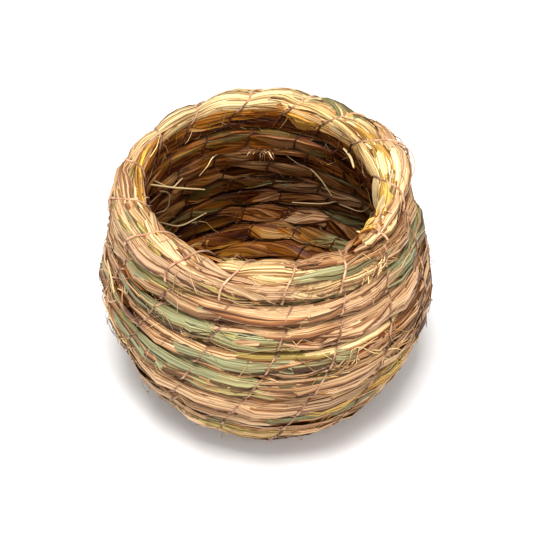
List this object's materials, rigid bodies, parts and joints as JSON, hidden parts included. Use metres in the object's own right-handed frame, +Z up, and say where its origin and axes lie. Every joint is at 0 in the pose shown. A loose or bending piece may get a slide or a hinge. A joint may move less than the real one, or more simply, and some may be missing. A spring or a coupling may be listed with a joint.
{
  "type": "coiled grass bird nest",
  "caption": "Empty round pet-bird nest: a dried-grass rope coiled into a deep bowl with a wide mouth, bound with thin wire.",
  "frame": {"origin": "under the middle of the whole box, on the surface that the nest stands on", "axes": "+Z up out of the mouth; -Y is the front, with the rope's free end on the rim at front right (+X -Y)"},
  "size_m": [0.1212, 0.1214, 0.0912],
  "materials": {
    "dried_grass": "dry flat blades, straw to tan with some grey-green, matte with a slight sheen",
    "binding_wire": "thin tarnished brown wire, dull"
  },
  "bodies": {
    "root": {"grass_course_01": "dried_grass", "grass_course_02": "dried_grass", "grass_course_03": "dried_grass", "grass_course_04": "dried_grass", "grass_course_05": "dried_grass", "grass_course_06": "dried_grass", "grass_course_07": "dried_grass", "grass_course_08": "dried_grass", "grass_course_09": "dried_grass", "grass_course_10": "dried_grass", "grass_course_11": "dried_grass", "grass_course_12": "dried_grass", "grass_course_13": "dried_grass", "binding_wire": "binding_wire"}
  },
  "joints": []
}
